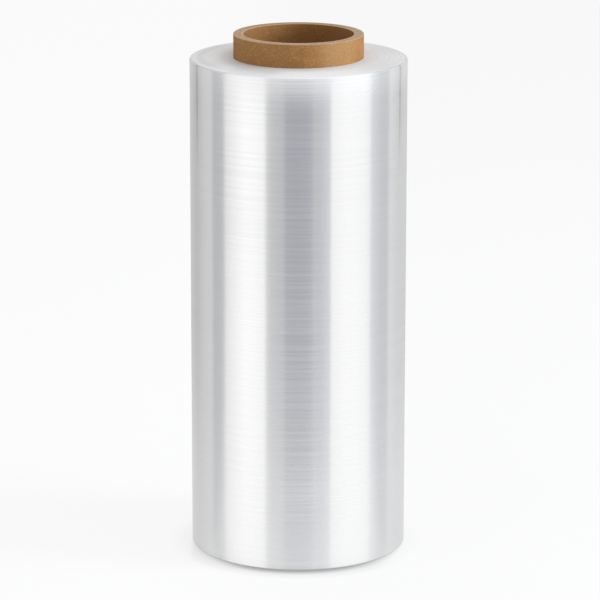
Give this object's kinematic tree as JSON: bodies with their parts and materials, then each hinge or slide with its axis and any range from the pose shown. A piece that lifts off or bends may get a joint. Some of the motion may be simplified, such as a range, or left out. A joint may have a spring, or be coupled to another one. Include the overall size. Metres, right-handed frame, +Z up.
{
  "type": "stretch wrap roll",
  "caption": "Roll of clear stretch wrap wound on a cardboard core tube that stands out bare at one end, for wrapping pallets and packs.",
  "frame": {"origin": "middle of the foot, on the roll's axis, in the plane of the core tube's lower end", "axes": "+Z up along the roll's axis, towards the end where the core stands out; X and Y are alike, because the roll is round"},
  "size_m": [0.1526, 0.1526, 0.3676],
  "materials": {
    "core_board": "matt unbleached kraft board with paper fibres",
    "stretch_film": "glossy clear film in many turns, silvery white, finely lined round the roll"
  },
  "bodies": {
    "root": {"core_tube": "core_board", "wound_film": "stretch_film"}
  },
  "joints": []
}
